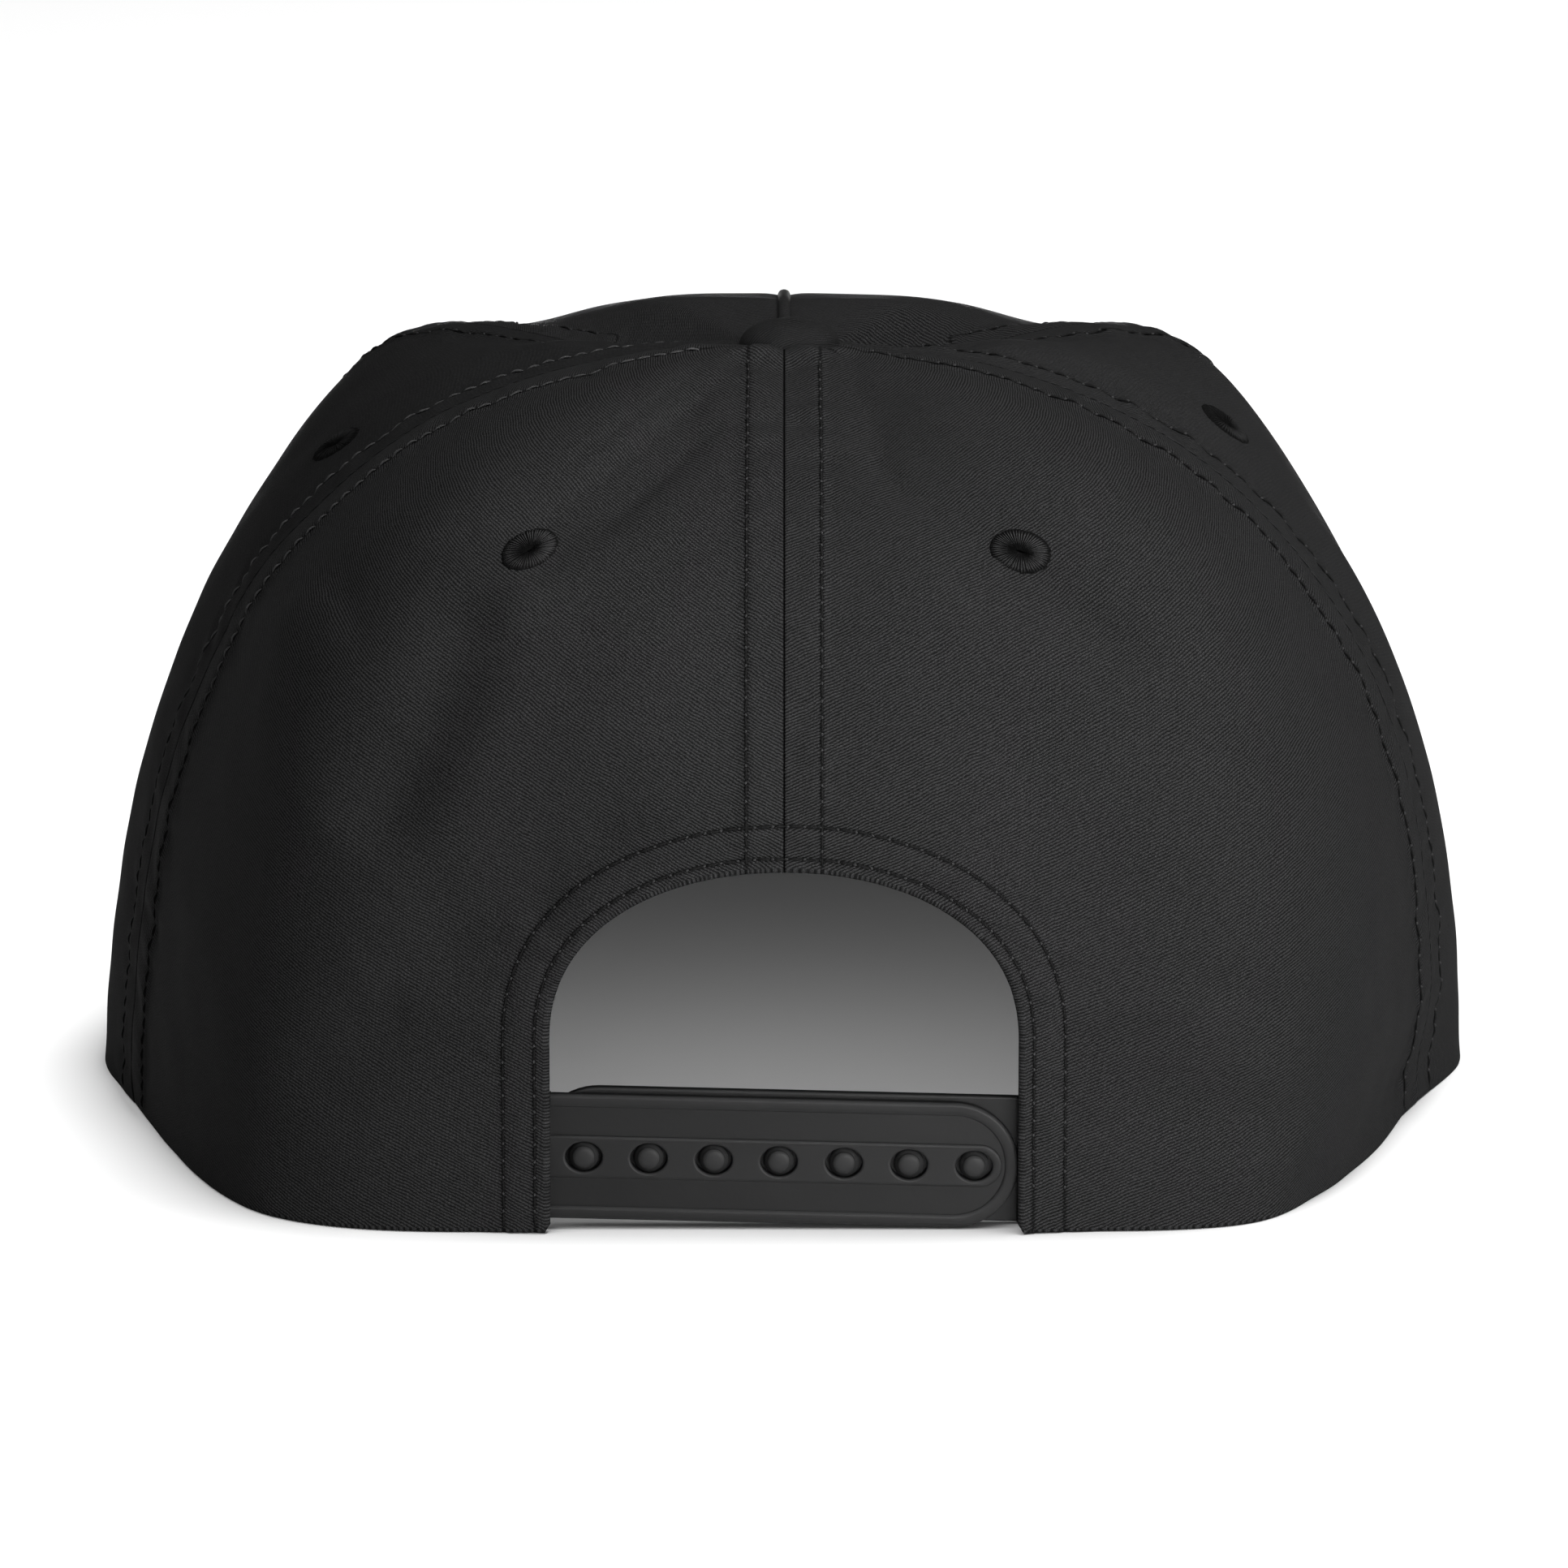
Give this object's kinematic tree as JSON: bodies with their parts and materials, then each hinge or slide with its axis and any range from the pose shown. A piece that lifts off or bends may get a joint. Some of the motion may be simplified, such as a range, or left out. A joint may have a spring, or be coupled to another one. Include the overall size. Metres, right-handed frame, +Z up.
{
  "type": "surf cap",
  "caption": "Black panelled cloth surf cap with a pinched front, curved peak, covered button, sewn eyelets and a snap strap across an arched back opening.",
  "frame": {"origin": "on the ground under the middle of the cap's width and length", "axes": "+Z up, +Y towards the peak, the snap strap at -Y, +X to the right seen from behind"},
  "size_m": [0.1991, 0.2194, 0.1141],
  "materials": {
    "cloth": "black fine twill with a soft sheen",
    "band_cloth": "black soft cotton strip",
    "thread": "black twisted sewing thread",
    "strap_plastic": "black moulded plastic, satin"
  },
  "bodies": {
    "root": {"back_panel_right": "cloth", "back_panel_left": "cloth", "side_panel_right": "cloth", "side_panel_left": "cloth", "front_panel": "cloth", "peak": "cloth", "button": "cloth", "sweatband": "band_cloth", "eyelet_back_right": "thread", "eyelet_back_left": "thread", "eyelet_side_right": "thread", "eyelet_side_left": "thread", "strap_holes": "strap_plastic", "strap_pegs": "strap_plastic"}
  },
  "joints": []
}
